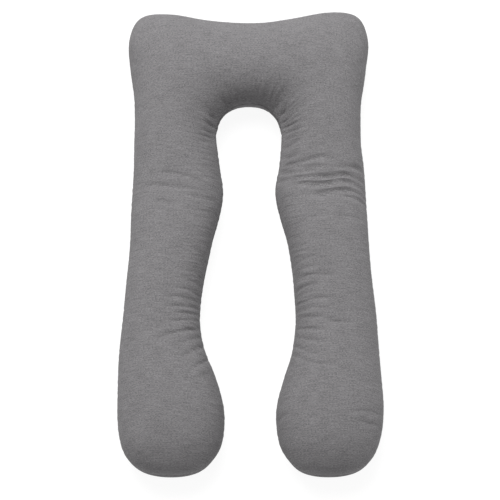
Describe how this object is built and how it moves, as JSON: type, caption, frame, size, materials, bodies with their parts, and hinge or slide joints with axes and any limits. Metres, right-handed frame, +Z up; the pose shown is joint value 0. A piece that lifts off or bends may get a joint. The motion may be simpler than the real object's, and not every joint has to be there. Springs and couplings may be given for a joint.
{
  "type": "u-shaped full-body pillow",
  "caption": "Filled U-shaped body pillow in heather grey jersey, with a broad head, an arched gap and long legs with round feet, lying on its back.",
  "frame": {"origin": "middle of the footprint, on the surface that the pillow lies on", "axes": "+X across the two legs, to the right in the picture; +Y from the feet to the head; +Z up, out of the front panel"},
  "size_m": [0.7867, 1.4383, 0.1984],
  "materials": {
    "jersey": "heather grey cotton jersey, matt with a soft nap"
  },
  "bodies": {
    "root": {"pillow": "jersey"}
  },
  "joints": []
}
